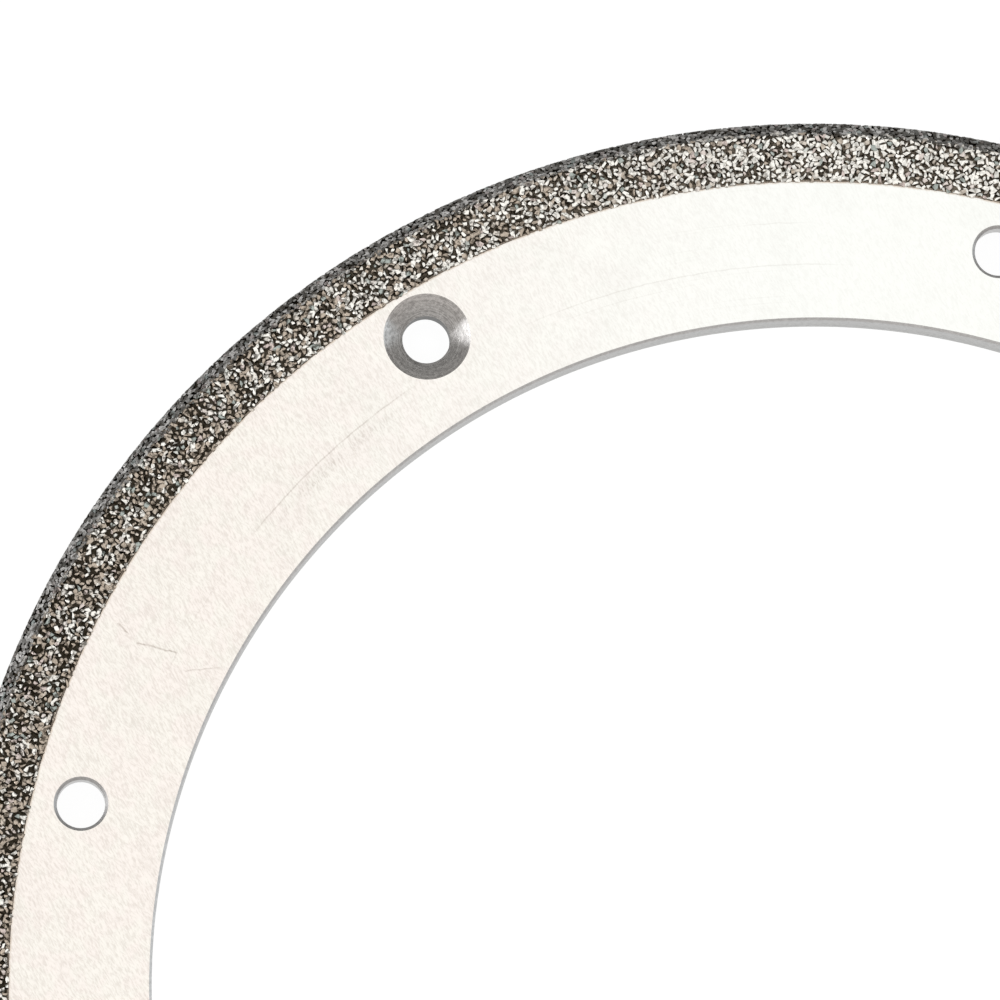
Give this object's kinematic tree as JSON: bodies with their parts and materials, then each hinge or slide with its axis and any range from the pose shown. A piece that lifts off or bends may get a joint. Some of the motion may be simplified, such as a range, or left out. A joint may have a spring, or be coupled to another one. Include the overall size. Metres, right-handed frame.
{
  "type": "cbn grinding wheel",
  "caption": "Flat steel ring with a large centring bore, a circle of screw holes countersunk from alternate faces, and a plated grit coat wrapped round its bevelled rim.",
  "frame": {"origin": "centre of the bore, midway between the two ground faces", "axes": "+Z along the spin axis, towards the front face; +X through the centre of a hole countersunk from the front"},
  "size_m": [0.2, 0.2, 0.0054],
  "materials": {
    "ground_steel": "ground faces with a fine satin scratch",
    "plated_grit": "coarse glittering grit held in dull nickel plate"
  },
  "bodies": {
    "root": {"steel_ring": "ground_steel", "cbn_layer": "plated_grit"}
  },
  "joints": []
}
